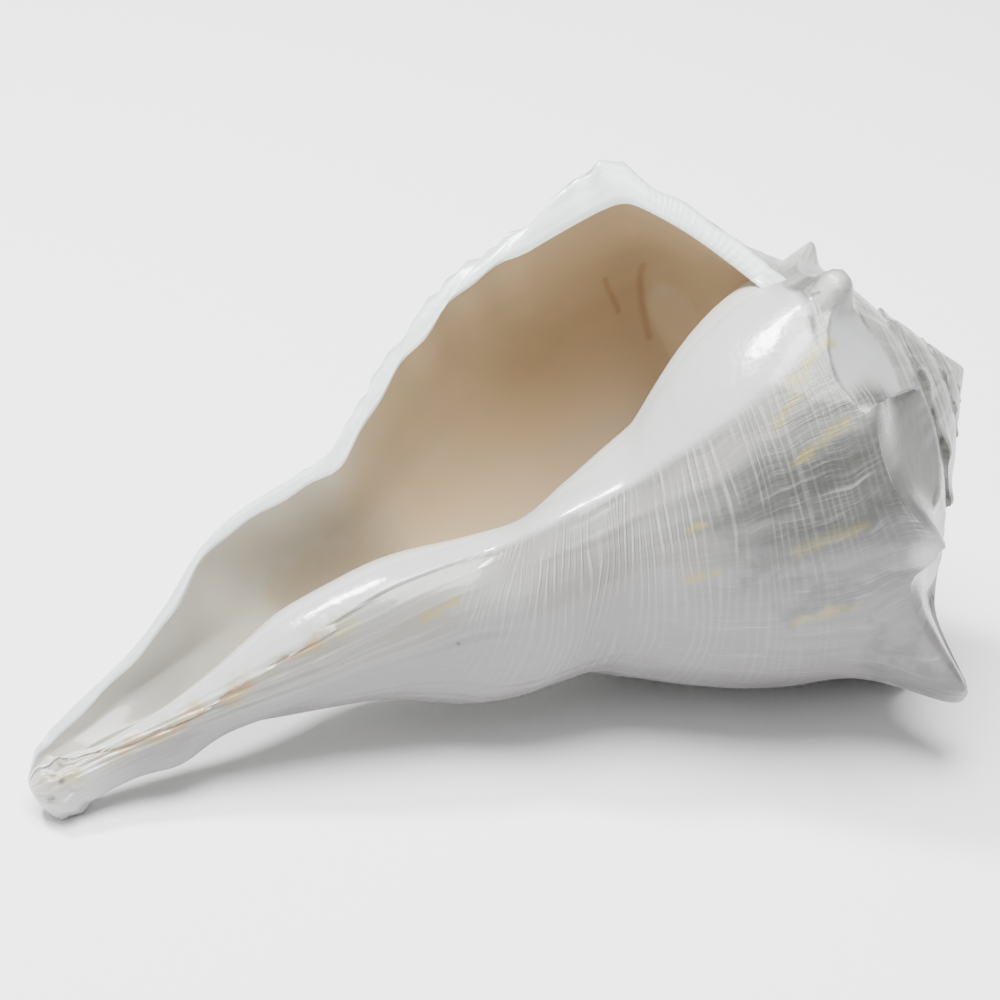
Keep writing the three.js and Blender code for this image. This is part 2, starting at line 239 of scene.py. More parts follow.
def through(points, x):
    """A smooth curve through points whose first value rises. It never swings past its points."""
    at, level = np.array(points, float).T
    widths = np.diff(at)
    steps = np.diff(level) / widths
    before, after = steps[:-1], steps[1:]
    rising = before * after > 0
    inner = np.zeros(len(before))
    inner[rising] = 2 / (1 / before[rising] + 1 / after[rising])
    slopes = np.concatenate([steps[:1], inner, steps[-1:]])
    x = np.clip(x, at[0], at[-1])
    k = np.clip(np.searchsorted(at, x, side="right") - 1, 0, len(steps) - 1)
    t = (x - at[k]) / widths[k]
    base = level[k] * (1 + 2 * t) * (1 - t) ** 2 + level[k + 1] * t * t * (3 - 2 * t)
    return base + widths[k] * t * (1 - t) * (slopes[k] * (1 - t) - slopes[k + 1] * t)


def lip_share(angle):
    """The lip's share of a row: 1 at the lip, 0 from LIP_BLEND before it."""
    return ease(1 + angle / LIP_BLEND)


def azimuth(angle, radius, depth):
    """Where a point of a row lies round the axis, once the row is swung towards the lip's plane."""
    distance = LIP_DISTANCE + LIP_SLOPE * depth
    sine = np.clip(distance / np.maximum(radius, NOTHING), -STEEPEST, STEEPEST)
    return angle + lip_share(angle) * (np.degrees(np.arcsin(sine)) - LIP_TURN)


def body_radius(angle, depth):
    """The smooth outside below the shoulder: the grown body merged with the columella."""
    grown = size(angle)
    flare = 1 + LIP_FLARE * lip_share(angle) * onset(depth / grown, *FLARE_DOWN)
    amount, middle, reach, start, length = WAIST
    waist = amount * onset(angle, start, -length) * bell((depth - middle) / reach)
    body = np.maximum(grown * flare * through(BODY, depth / grown) - waist, 0)
    lean = through(COLUMELLA_LEAN, depth) * np.cos(np.radians(angle - LEAN_TOWARDS))
    columella = np.minimum(through(COLUMELLA, depth) + lean, COLUMELLA_MOST * SHOULDER_RADIUS * grown)
    end = np.sqrt(np.clip((TIP_DEPTH - depth) / TIP_ROUNDING, 0, 1))
    return end * (body ** MERGING + columella ** MERGING) ** (1 / MERGING)


def row_radius(angle, depth):
    return body_radius(azimuth(angle, body_radius(angle, depth), depth), depth)


def shoulder_of(angle):
    """A row's shoulder: where it is swung to, how big the shell is there, its radius and depth."""
    first = size(angle)
    swung = azimuth(angle, SHOULDER_RADIUS * first, SHOULDER_DEPTH * first)
    grown = size(swung)
    return swung, grown, SHOULDER_RADIUS * grown, SHOULDER_DEPTH * grown


def attach_depth(swung, depth):
    return depth * lerp(SEAM_ON_SPIRE, SEAM_ON_BODY, onset(swung, *SEAM_FALL))


def floor_depth(angle):
    """Depth of the chamber's floor. At the lip it reaches the tip, so the canal is open all the way."""
    closed = size(angle) * FLOOR_DEPTH
    return lerp(closed, TIP_DEPTH, np.clip(1 + angle / CANAL_TURN, 0, 1) ** CANAL_FALL)


def crowded(share):
    """Steps down a row, shorter towards its lower end, where it curves in."""
    return 1 - (1 - share) ** CROWDING


def every_spine():
    """The spines, and the small knobs that go on from them up the spire."""
    knobs = []
    angle = SPINES[-1][0] - KNOB_STEP
    while angle > -360 * TURNS:
        knobs.append((angle, KNOB[0] * size(angle), *KNOB[1:]))
        angle -= KNOB_STEP
    return SPINES + knobs


def spine_push(angle, below):
    """How far the spines push a point out and up. below is its distance under the shoulder, at full size."""
    out = np.zeros(np.broadcast(angle, below).shape)
    up = out.copy()
    for k, (at, height, width, drop, share_out, share_up) in enumerate(every_spine()):
        ridge = np.minimum(1, SPINE_TOP * bell((angle - at) / width, SPINE_SIDES))
        under = below - drop
        foot = SPINE_FOOT if k < len(SPINES) else KNOB_FOOT
        reach = bell(under / np.where(under > 0, foot, SPINE_BACK))
        if k == 0:
            reach = bell(under / LIP_SPINE_REACH, LIP_SPINE_SIDES)
        out = np.maximum(out, share_out * height * ridge * reach)
        up = np.maximum(up, share_up * height * ridge * reach)
    return out, up


def place(angle, radius, depth):
    """Points from their angle, radius and depth."""
    turn = np.radians(angle)
    return np.stack([radius * np.cos(turn), radius * np.sin(turn), -depth + 0 * turn], -1)


def wear_shoulder(points, angle, inside=0.0):
    """Presses the shoulder down to the flats between the spines. Returns how far each point was pressed."""
    pressed = np.zeros(points.shape[:-1])
    for k, (turn, tilt, bite) in enumerate(FLATS):
        grown = size(turn)
        facing = place(turn, math.cos(math.radians(tilt)), -math.sin(math.radians(tilt)))
        corner = place(turn, SHOULDER_RADIUS * grown, SHOULDER_DEPTH * grown)
        proud = points @ facing - corner @ facing + bite * math.sqrt(grown) + inside
        in_reach = (angle < SPINES[k][0]) & (angle >= SPINES[k + 1][0])
        push = np.where(in_reach, np.maximum(proud, 0), 0)
        points -= push[..., None] * facing
        pressed += push
    return pressed


# ---------------------------------------------------------------- the rows
row_count = round(TURNS * ROWS)
chamber_count = round(CHAMBER_TURNS * ROWS)
first_inner = row_count - chamber_count - ROWS
one_turn = np.concatenate([
    np.linspace(*steps, endpoint=False) for steps in (FINE_ROWS, PLAIN_ROWS, LIP_ROWS)
])
turns_back = np.arange(math.ceil(TURNS))[::-1, None]
angles = np.append(one_turn - 360 * turns_back, 0)[-(row_count + 1):]


def seam_of(angle):
    """Where a row sews on to the turn before it, as radius and depth. The first turn starts near the axis."""
    swung, _, _, shoulder_depth = shoulder_of(angle - 360)
    depth = attach_depth(swung, shoulder_depth)
    start = attach_depth(*np.array(shoulder_of(angle))[[0, 3]]) / GROWTH
    first = angle < -360 * (TURNS - 1) - NOTHING
    radius = np.where(first, NUCLEUS_RADIUS * row_radius(angle, start), row_radius(angle - 360, depth))
    return radius, np.where(first, NUCLEUS_DEPTH * start, depth)


def ramp_profile(angle, share):
    """The straight ramp from the seam to the shoulder, swelling a little on the spire."""
    seam_radius, seam_depth = seam_of(angle)
    _, grown, radius, depth = shoulder_of(angle)
    swell = SHOULDER_RADIUS * grown * lerp(RAMP_SWELL, LIP_RAMP_SWELL, ease(1 + angle / 360))
    return lerp(seam_radius, radius, share), lerp(seam_depth, depth, share) - swell * np.sin(np.pi * share)


def outside_rows():
    """Radius and depth of every outside point, and its distance under the shoulder at full size."""
    angle = angles[:, None]
    swung, grown, radius, depth = (value[:, None] for value in shoulder_of(angles))
    radii = np.zeros((row_count + 1, LAST + 1))
    depths = radii.copy()
    share = np.arange(RAMP + 1) / RAMP
    radii[:, :RAMP + 1], depths[:, :RAMP + 1] = ramp_profile(angle, share)
    attach = attach_depth(swung, depth)
    share = np.arange(1, FLANK + 1) / FLANK
    radii[:, RAMP + 1:ATTACH + 1] = lerp(radius, row_radius(angle, attach), share)
    depths[:, RAMP + 1:ATTACH + 1] = lerp(depth, attach, share)
    covered = angle <= -360
    thick = SEAM_WALL * WALL * grown + np.where(covered, LIP_SEAM_WALL * lip_share(angle + 360), 0)
    bottom = np.where(covered, floor_depth(np.minimum(angle + 360, 0)), TIP_DEPTH)
    lower = np.concatenate([
        attach + thick * np.arange(1, GAP) / GAP,
        lerp(attach + thick, bottom, crowded(np.arange(BELOW + 1) / BELOW)),
    ], axis=1)
    radii[:, ATTACH + 1:] = row_radius(angle, lower)
    depths[:, ATTACH + 1:] = lower
    away = np.hypot(radii - radius, depths - depth)
    below = np.where(np.arange(LAST + 1) <= RAMP, -away, depths - depth) / grown
    return radii, depths, below


def growth_waves(angle, full_depth):
    """Uneven swellings along the growth lines."""
    wander = angle + 1.3 * np.sin(full_depth / 15) + 0.8 * np.sin(full_depth / 6.1 + angle / 9)
    uneven = 0.6 + 0.4 * np.sin(full_depth / 21 + angle / 17)
    return uneven * sum(height * np.sin(2 * np.pi * wander / length + length) for length, height in WAVES)


def callus_share(angle, depth):
    """1 where the smooth callus beside the mouth covers the turn before it, 0 elsewhere."""
    edge = through(CALLUS_EDGE, depth)
    ragged = 2.6 * np.sin(depth / 2.3) + 1.6 * np.sin(depth / 1.1 + 1)
    edge += onset(depth, *CALLUS_RAGGED) * ragged
    slope = lerp(*CALLUS_SLOPES, onset(depth, *CALLUS_HARDENS))
    return ease((edge - angle) / slope + 0.5) * onset(depth, CALLUS_EDGE[0][0], CALLUS_START)


def lump(swung, depths, height, at, reach, middle, down, steepness):
    """A single lump, by its height, angle, reach in degrees, depth, reach, and steepness."""
    return height * bell(np.hypot((swung - at) / reach, (depths - middle) / down), steepness)


def relief(swung, depths, flat, callus):
    """How far the finer relief raises each point of the outside."""
    waves = growth_waves(swung, depths / size(swung)) * np.minimum(size(swung), WAVES_AT_MOST)
    heights = waves * (1 - SMOOTHED * np.maximum(flat, callus)) + CALLUS_HEIGHT * callus
    heights += lump(swung, depths, *ROUND_KNOB) + lump(swung, depths, *CANAL_LUMP)
    lumps = np.sin(swung / 3.3 + depths / 2.6) * np.sin(depths / 3.4 - swung / 7)
    lumps *= onset(depths, *SEAM_LUMPS_BEGIN) * bell((swung - SEAM_ANGLE) / SEAM_REACH)
    broken = np.sin(swung / 11 + depths / 1.3) * np.sin(swung / 23 - depths / 2.1 + 1)
    roughness, middle, reach = TIP_BREAK
    heights += SEAM_LUMPS * lumps + roughness * broken * bell((depths - middle) / reach)
    chips = np.sin(depths / 1.9) + np.sin(depths / 3.7 + 2) + np.sin(depths / 0.9 + 1) - CHIPPED_AWAY
    chips *= onset(depths, *CHIPS_BEGIN) * onset(depths, *CHIPS_END)
    heights += LIP_CHIPS * chips * onset(angles[:, None], -CHIPS_LENGTH, CHIPS_LENGTH)
    return heights * onset(depths, TIP_DEPTH, -TIP_FADE)


def with_relief(points, heights):
    """Raises each point of a grid by its height, straight out of the surface."""
    out = np.cross(np.gradient(points, axis=1), np.gradient(points, axis=0))
    length = np.linalg.norm(out, axis=-1, keepdims=True)
    return points + heights[..., None] * out / np.maximum(length, SHORTEST)


def outside_points():
    """The outside's points, and for each its angle, depth, and shares of flat and callus."""
    radii, depths, below = outside_rows()
    swung = azimuth(angles[:, None], radii, depths)
    points = place(swung, radii, depths)
    upper = slice(0, ATTACH + 1)
    pressed = np.zeros(points.shape[:-1])
    pressed[:, upper] = wear_shoulder(points[:, upper], swung[:, upper])
    pressed[-ROWS:] = np.maximum(pressed[-ROWS:], wear_shoulder(points[-ROWS:], swung[-ROWS:]))
    out, up = spine_push(swung, below)
    points += place(swung, out, -up)
    flat = ease(pressed / FLAT_SHOWS) * (1 - onset(np.hypot(out, up), *SPINE_SHOWS))
    callus = callus_share(swung, depths) * (np.arange(LAST + 1) > ATTACH)
    points = with_relief(points, relief(swung, depths, flat, callus))
    share = np.clip(1 - np.arange(LAST + 1) / RAMP, 0, 1) ** 3
    shift = points[:-ROWS, ATTACH] - points[ROWS:, 0]
    points[ROWS:] += shift[:, None] * share[:, None]
    points[row_count - ROWS:, LAST] = (0, 0, -TIP_DEPTH)
    return points, swung, depths, np.stack([flat, callus], -1)


def chamber_skin():
    """The outside of the wall round the chamber, as radius and depth."""
    swung, grown, _, depth = chamber_shoulder
    skin_radius = np.zeros((chamber_count + 1, LAST + 1))
    skin_depth = skin_radius.copy()
    share = np.arange(CORNER + 1) / CORNER
    skin_radius[:, :CORNER + 1], skin_depth[:, :CORNER + 1] = ramp_profile(chamber_angle, share)
    skin_radius[:, CORNER + 1:] = row_radius(chamber_angle, chamber_lower)
    skin_depth[:, CORNER + 1:] = chamber_lower
    bulge = HOLLOW_SHARE * spine_push(swung, 0 * swung)[0]
    return skin_radius + bulge * bell((skin_depth - depth) / (HOLLOW_REACH * grown)), skin_depth


def wall_thickness(depth):
    """How thick the wall round the chamber is, thickest at the lip."""
    at_lip = lerp(LIP_WALL, CANAL_WALL, ease((depth - BELLY_DEPTH) / (CANAL_DEPTH - BELLY_DEPTH)))
    uneven = np.sin(depth / 2.2) + np.sin(depth / 3.9 + 1)
    wider, middle, reach = LIP_END
    at_lip *= 1 + wider * bell((depth - middle) / reach) + LIP_UNEVEN * uneven
    grown = chamber_shoulder[1]
    return lerp(WALL, at_lip, ease(1 + chamber_angle / LIP_THICKENING)) * (1 + grown) / 2


def hollow_radius(skin_radius, wall):
    """The radius of the chamber under its shoulder, down to its rounded floor."""
    depth = chamber_shoulder[3]
    openness = ease(1 + chamber_angle / ROUNDING_TURN)
    rounding = lerp(FLOOR_ROUNDING * (chamber_floor - depth), TIP_FLOOR_ROUNDING, openness)
    core = body_radius(chamber_angle - 360, chamber_lower)
    room = np.maximum(skin_radius - core, LEAST_ROOM)
    rise = np.clip((chamber_floor - chamber_lower) / rounding, 0, 1)
    hollow = room - np.minimum(wall, WALL_SHARE * room)
    return core + hollow * np.sqrt(1 - (1 - rise) ** 2)


def join_seam(radii, depths, seam):
    """Eases the chamber's wall into its seam, and rounds its shoulder."""
    share = np.clip(1 - np.arange(LAST + 1) / (RAMP_BLEND * CORNER), 0, 1) ** 2
    radii += (np.hypot(seam[:, 0], seam[:, 1]) - radii[:, 0])[:, None] * share
    depths += (-seam[:, 2] - depths[:, 0])[:, None] * share
    end = CORNER + FLANK
    for _ in range(CORNER_ROUNDS):
        for values in (radii, depths):
            values[:, 1:end] = (values[:, :end - 1] + 2 * values[:, 1:end] + values[:, 2:end + 1]) / 4


def chamber_points():
    """The chamber's outer wall. Its inner wall is the lower part of the outside one turn before."""
    skin_radius, skin_depth = chamber_skin()
    wall = wall_thickness(skin_depth)
    along_radius, along_depth = np.gradient(skin_radius, axis=1), np.gradient(skin_depth, axis=1)
    inwards = wall / np.hypot(along_radius, along_depth)
    radii = skin_radius - inwards * along_depth
    depths = skin_depth + inwards * along_radius
    radii[:, CORNER + 1:] = hollow_radius(skin_radius[:, CORNER + 1:], wall[:, CORNER + 1:])
    depths[:, CORNER + 1:] = chamber_lower
    before = outer[first_inner:row_count + 1 - ROWS]
    join_seam(radii, depths, before[:, INSIDE])
    swung = azimuth(chamber_angle, radii, depths)
    points = place(swung, radii, depths)
    wear_shoulder(points, swung, WALL)
    points[:, 0] = before[:, INSIDE]
    points[:, LAST] = before[:, LAST]
    return points, swung, depths


outer, outer_swung, outer_depth, outer_marks = outside_points()
chamber_angle = angles[-(chamber_count + 1):][:, None]
chamber_shoulder = [value[:, None] for value in shoulder_of(chamber_angle[:, 0])]
chamber_floor = floor_depth(chamber_angle)
chamber_steps = crowded(np.arange(1, LAST - CORNER + 1) / (LAST - CORNER))
chamber_lower = lerp(chamber_shoulder[3], chamber_floor, chamber_steps)
chamber, chamber_swung, chamber_depth = chamber_points()


# ---------------------------------------------------------------- the mesh
OUTSIDE, INSIDE_SHELL, GROUND_LIP = range(3)
SHARPEST = 50  # degrees between two faces that still shade as one surface


class Skin:
    """Collects points and faces. Points that two grids share are stored once.

    Each corner of a face also keeps how it grew (angle, full-size depth, depth) and its marks.
    """

    def __init__(self):
        self.points = []
        self.faces = []
        self.kinds = []
        self.growth = []
        self.marks = []

    def add(self, points):
        first = len(self.points)
        self.points.extend(points.reshape(-1, 3).tolist())
        return np.arange(first, len(self.points)).reshape(points.shape[:-1])

    def quads(self, corners, growth, marks, kind):
        ids, growth, marks = (np.stack(value, 2).reshape(-1, 4, *value[0].shape[2:]).tolist()
                              for value in (corners, growth, marks))
        for face, grown, marked in zip(ids, growth, marks):
            kept = [k for k in range(4) if face[k] != face[k - 1]]
            if len({face[k] for k in kept}) > 2:
                self.faces.append([face[k] for k in kept])
                self.kinds.append(kind)
                self.growth.extend(grown[k] for k in kept)
                self.marks.extend(marked[k] for k in kept)

    def fan(self, ring, kind):
        centre = int(self.add(np.mean([self.points[k] for k in ring], axis=0)[None])[0])
        for k, point in enumerate(ring):
            self.faces.append([int(ring[k - 1]), int(point), centre])
            self.kinds.append(kind)
            self.growth.extend([[0, 0, 0]] * 3)
            self.marks.extend([[0, 0, 0]] * 3)


class Grid:
    """A grid of stored points, with how each one grew and its marks: flat, callus and lip."""

    def __init__(self, ids, angle, depth, marks):
        self.ids = ids
        self.growth = np.stack(np.broadcast_arrays(angle, depth / size(angle), depth), -1)
        self.marks = marks

    def cover(self, rows, columns, kind, flip=False):
        """Adds the faces between the given rows and columns."""
        low, high = slice(rows[0], rows[1]), slice(rows[0] + 1, rows[1] + 1)
        left, right = slice(columns[0], columns[1]), slice(columns[0] + 1, columns[1] + 1)
        sides = [(low, left), (low, right), (high, right), (high, left)]
        sides = sides[::-1] if flip else sides
        kept = (self.ids, self.growth, self.marks)
        skin.quads(*([values[side] for side in sides] for values in kept), kind)


def lip_grid():
    """The ground face of the lip, with softly worn edges. Its first and last columns end the two walls."""
    turn = math.radians(LIP_TURN)
    out = np.array([math.sin(turn), math.cos(turn), LIP_SLOPE])
    out /= np.linalg.norm(out)
    edge, wall = outer[-1].copy(), chamber[-1].copy()
    steps = np.array(LIP_BEVEL)
    strip = lerp(edge[:, None], wall[:, None], steps[:, 0, None])
    narrow = np.linalg.norm(wall - edge, axis=-1)[:, None] / LIP_WALL
    strip -= (steps[:, 1] * np.minimum(narrow, 1))[..., None] * out
    return strip


last_turn = row_count - ROWS
strip = lip_grid()
outer[-1], chamber[-1] = strip[:, 0], strip[:, -1]
skin = Skin()
outer_ids = skin.add(outer)
chamber_ids = skin.add(chamber)
outer_ids[ROWS:, 0] = outer_ids[:-ROWS, ATTACH]
outer_ids[row_count - ROWS:, LAST] = outer_ids[row_count, LAST]
inner_ids = outer_ids[first_inner:row_count + 1 - ROWS]
chamber_ids[:, 0] = inner_ids[:, INSIDE]
chamber_ids[:, LAST] = inner_ids[:, LAST]
strip_ids = skin.add(strip)
strip_ids[:, 0] = outer_ids[-1]
strip_ids[:, -1] = chamber_ids[-1]
strip_ids[0], strip_ids[-1] = outer_ids[last_turn, ATTACH:INSIDE + 1], outer_ids[-1, LAST]

outside = Grid(outer_ids, outer_swung, outer_depth, np.dstack([outer_marks, np.zeros(outer_ids.shape)]))
outside.cover((0, last_turn), (0, ATTACH), OUTSIDE)
outside.cover((last_turn, row_count), (0, LAST), OUTSIDE)
outside.cover((first_inner, last_turn), (INSIDE, LAST), INSIDE_SHELL)
chamber_grid = Grid(chamber_ids, chamber_swung, chamber_depth, np.zeros((*chamber_ids.shape, 3)))
chamber_grid.cover((0, chamber_count), (0, LAST), INSIDE_SHELL, flip=True)
lip_depth = np.repeat(-strip[..., 2:3].mean(1), strip.shape[1], 1)
lip_marks = np.ones((*strip_ids.shape, 3)) * np.array(LIP_BEVEL)[:, :1]
ground_lip = Grid(strip_ids.T, 0 * lip_depth.T, lip_depth.T, lip_marks.swapaxes(0, 1))
ground_lip.cover((0, len(LIP_BEVEL) - 1), (0, LAST), GROUND_LIP)
skin.fan([*chamber_ids[0], *outer_ids[first_inner, INSIDE + 1:LAST][::-1]], INSIDE_SHELL)
skin.fan([*outer_ids[:ROWS, 0], *outer_ids[0, 1:ATTACH + 1][::-1]], OUTSIDE)


def lay(points):
    """Lays the shell down in the frame, inside the box of its solid."""
    lying = Matrix.Rotation(math.pi, 3, "X") @ Matrix.Rotation(math.pi / 2 + math.radians(TILT), 3, "Y") \
        @ Matrix.Rotation(-math.radians(ROLL), 3, "Z")
    points = points @ np.array(lying).T / 1000
    worn = WEAR / 1000
    low, high = np.array(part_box("shell"))
    own_low, own_high = points.min(0), points.max(0)
    own_low[2] += worn
    fit = min(1, *((high - low) / (own_high - own_low)))
    points = (points - (own_low + own_high) / 2) * fit + (low + high) / 2
    points[:, 2] -= points[:, 2].min() - low[2] + fit * worn
    points[:, 2] = np.maximum(points[:, 2], low[2])
    return points


laid = lay(np.array(skin.points))
mesh = bpy.data.meshes.new("whelk_shell")
mesh.from_pydata(laid.tolist(), [], skin.faces)
mesh.polygons.foreach_set("material_index", skin.kinds)
for name, values in (("growth", skin.growth), ("marks", skin.marks)):
    mesh.attributes.new(name, "FLOAT_VECTOR", "CORNER").data.foreach_set("vector", np.ravel(values))
mesh.update()
shell = bpy.data.objects.new("whelk_shell", mesh)
bpy.context.scene.collection.objects.link(shell)
shell.select_set(True)
bpy.context.view_layer.objects.active = shell
bpy.ops.object.mode_set(mode="EDIT")
bpy.ops.mesh.select_all(action="SELECT")
bpy.ops.mesh.delete_loose()
bpy.ops.object.mode_set(mode="OBJECT")
bpy.ops.object.shade_smooth_by_angle(angle=math.radians(SHARPEST))


# ---------------------------------------------------------------- materials
POLISH = {"Coat Weight": 0.35, "Coat Roughness": 0.08, "IOR": 1.5}

WHITE = (0.256, 0.256, 0.247)
CREAM = (0.233, 0.228, 0.209)
GREY = (0.055, 0.058, 0.053)
PALE_GREY = (0.17, 0.175, 0.165)
# Violet-grey painted shade for the lower side of the body.
VIOLET_SHADE = (0.175, 0.162, 0.178)
FLAT_GREY = (0.35, 0.365, 0.36)
# Darker grey for the flats nearer the lip: painted shade.
FLAT_SHADE = (0.112, 0.115, 0.108)
CALLUS_WHITE = (0.50, 0.515, 0.51)
BRIGHT = (0.70, 0.70, 0.68)
YELLOW = (0.30, 0.255, 0.055)
RUST = (0.33, 0.165, 0.05)
REDDISH = (0.28, 0.14, 0.07)
# Brown painted shade for the throat of the canal.
THROAT_SHADE_BROWN = (0.36, 0.27, 0.15)
DARK = (0.05, 0.035, 0.02)
TAN = (0.48, 0.37, 0.235)
PINK_TAN = (0.43, 0.335, 0.207)
# A paler tan deep inside: painted light over the chamber's shade.
DEEP_TAN_PAINTED_LIGHT = (0.73, 0.61, 0.45)
# Ochre painted shade where the light falls straight into the mouth.
OCHRE_SHADE = (0.41, 0.275, 0.12)
CANAL_GREY = (0.49, 0.46, 0.385)
CANAL_CREAM = (0.36, 0.352, 0.31)
LIP_PALE = (0.60, 0.645, 0.62)
LIP_BLUE = (0.50, 0.565, 0.555)

# Where each tint starts, where it is full, and how strong it then is. The first ones go by pattern, the
# others by depth at full size, by depth or by angle.
MOTTLED = (0.4, 0.65)
GREY_BANDS = (0.42, 0.62, 0.75)
DARK_BANDS = (0.3, 0.5, 0.85)
DARK_LINES = (0.5, 0.7, 0.5)
PALE_LINES = (0.46, 0.25, 0.25)
RAMP_LINES = (0.44, 0.64, 0.7)
CALLUS_RIM = (0.1, 0.24, 0.8)
UPPER_BODY = (165.0, 80.0)
DARK_DOWN = (135.0, 85.0)
ON_RAMP = (49.5, 46.0)
RIBS_END = (215.0, 165.0, 0.3)
RIBS_GROW = (65.0, 115.0)
RIM_BEGINS = (95.0, 135.0)
PALE_TIP = (188.0, 206.0, 0.4)
DARK_STARTS = (-308.0, -292.0)
DARK_ENDS = (-240.0, -262.0)
# Where the violet-grey painted shade begins and ends, by angle.
VIOLET_SHADE_STARTS = (-292.0, -248.0, 0.75)
VIOLET_SHADE_ENDS = (-150.0, -215.0)
# Flats at angles past these take the painted shade.
FLAT_SHADE_ANGLES = (-305.0, -299.0)
TAN_BANDS = (0.3, 0.7)
# Where the paler tan, painted light, takes over deeper in.
DEEPER_IN = (-45.0, -130.0)
# Where the ochre painted shade lies, by depth and by angle.
SHADED_BELLY_DOWN = (55.0, 84.0, 0.5)
SHADED_BELLY_IN = (-60.0, -90.0)
CANAL_BEGINS = (112.0, 140.0)
CANAL_PALER = (150.0, 178.0)
NEAR_LIP = (-14.0, -1.0, 0.8)
COLUMELLA_OUTER = (-384.0, -362.0)
UNDER_LIP = (-200.0, -230.0)
LIP_LAYERS = (0.35, 0.65)
LIP_CUTS = (-0.2, 1.0, 0.14)
LIP_UPPER = (52.0, 44.0)
COVERING = 0.85  # how much of the body's tints a flat or the callus hides
RAMP_PALER = 0.25
# How much one thing changes with another, and what it starts from.
LINES_ON_RAMP = (-0.8, 1)
RIB_STRENGTH = (0.75, 0.25)
OUTSIDE_ROUGHNESS = (-0.12, 0.24)
INSIDE_ROUGHNESS = (0.12, 0.3)
LIP_ROUGHNESS = (0.15, 0.25)
LINES_ROUGHER = 0.2
LAYERS_ACROSS = 5
LAYERS_DOWN = 0.05
CUTS_DOWN = 9.5
CUTS_UNEVEN = 9
# The finest relief: heights against each other, and the whole in metres, of the body and of the ground lip.
LINES_RAISED = (0.9, 0.1)
RIBS_RAISED = 3.5
GRAIN_RAISED = 0.2
CALLUS_RAISED = 3
CUTS_RAISED = 0.25
BODY_RELIEF = 0.00035
LIP_RELIEF = 0.0001
INSIDE_FROM = -100  # marks at angles over this one are inside the mouth
DEGREE_WEIGHT = 0.8  # what a miss of one degree counts against one of a millimetre down

# Marks, as lines from one place to another, each an angle and a depth, with a width.
YELLOW_STROKES = [
    ((-325, 33), (-318, 42), 2.4), ((-314, 44), (-308, 50), 1.6), ((-301, 36), (-296, 50), 1.6),
    ((-273, 42), (-272, 56), 2), ((-288, 68), (-286, 74), 1.2), ((-270, 70), (-268, 78), 1.4),
    ((-251, 46), (-248, 60), 1.8), ((-297, 117), (-296, 126), 1.6), ((-300, 203), (-296, 209), 4),
]
REDDISH_STROKES = [
    ((-66, 47), (-71, 48), 1.5), ((-71, 48), (-77, 49), 1.5), ((-77, 49), (-84, 50), 1.5),
    ((-66, 56), (-71, 55), 1.2), ((-71, 55), (-76, 54), 1.2),
]
# Painted shade where the canal's throat goes in behind the columella.
THROAT_SHADES = [((-88, 131), (-88, 147), 12)]
PALE_TIPS = [
    ((-380, 19), (-380, 25), 10), ((-1395, 1), (-1364, 3), 6), ((-340, 25.5), (-340, 27.5), 5),
    ((-263, 28), (-262, 33), 6),
]
GREY_STROKES_AND_SPINE_SHADE = [
    ((-294, 30), (-293, 40), 6), ((-293, 40), (-290, 52), 5), ((-288, 52), (-286, 66), 5),
    ((-276, 36), (-273, 52), 5), ((-273, 52), (-268, 66), 5), ((-256, 40), (-252, 60), 5),
    # These two darken the underside of the biggest spine: painted shade. The others are grey marks.
    ((-226, 34), (-232, 44), 10), ((-222, 36), (-226, 46), 10),
]
STAIN_HALOS = [
    ((-322, 140), (-319, 151), 3.5), ((-316, 158), (-312, 168), 3.5),
    ((-304, 174), (-300, 184), 3.5), ((-301, 186), (-312, 195), 3),
]
STAINS = [
    ((-319, 148), (-318, 156), 2), ((-314, 163), (-308, 170), 2.6), ((-303, 175), (-300, 183), 2.4),
    ((-301, 186), (-310, 193), 2.6), ((-318, 197), (-325, 200), 1.4),
]
PITS = [
    ((-335, 33.2), (-331, 34), 1.4), ((-262, 122.1), (-262, 122.4), 0.7),
    ((-311, 207.4), (-311, 207.8), 1.5), ((-291, 206.4), (-291, 206.8), 1.2),
    ((-330, 204), (-326, 205), 1.1), ((-270, 209), (-268, 210), 1), ((-240, 24), (-238, 27), 1.2),
    ((-341, 29), (-341, 30), 0.8), ((-667, 15), (-666, 15.4), 1.1),
    ((-646, 15.3), (-645, 15.7), 1.3), ((-630, 15.5), (-629, 16), 1.3),
]
# In the order they are laid: the marks, their tint, its strength, and how uneven their edges are.
OUTSIDE_STROKES = [
    (PALE_TIPS, BRIGHT, 0.5, 0.6), (YELLOW_STROKES, YELLOW, 0.55, 3), (GREY_STROKES_AND_SPINE_SHADE, GREY, 0.55, 3),
    (STAIN_HALOS, YELLOW, 0.35, 3), (STAINS, RUST, 0.5, 2.5), (PITS, DARK, 0.65, 1),
]
INSIDE_STROKES = [(THROAT_SHADES, THROAT_SHADE_BROWN, 0.6, 0.8), (REDDISH_STROKES, REDDISH, 0.35, 0.8)]


def fill(tree, socket, value):
    """Sets an input, or links it to another node's output."""
    if isinstance(value, bpy.types.NodeSocket):
        tree.links.new(value, socket)
    else:
        socket.default_value = value


def node(tree, kind, inputs=None, **settings):
    """Adds a node, sets its options and fills its inputs."""
    made = tree.nodes.new("ShaderNode" + kind)
    for name, value in settings.items():
        setattr(made, name, value)
    for name, value in (inputs or {}).items():
        fill(tree, made.inputs[name], value)
    return made


def calc(tree, operation, *values):
    """One sum. Its result."""
    return node(tree, "Math", dict(enumerate(values)), operation=operation).outputs[0]


def product(tree, result, *factors):
    """Several values multiplied together."""
    for factor in factors:
        result = calc(tree, "MULTIPLY", result, factor)
    return result


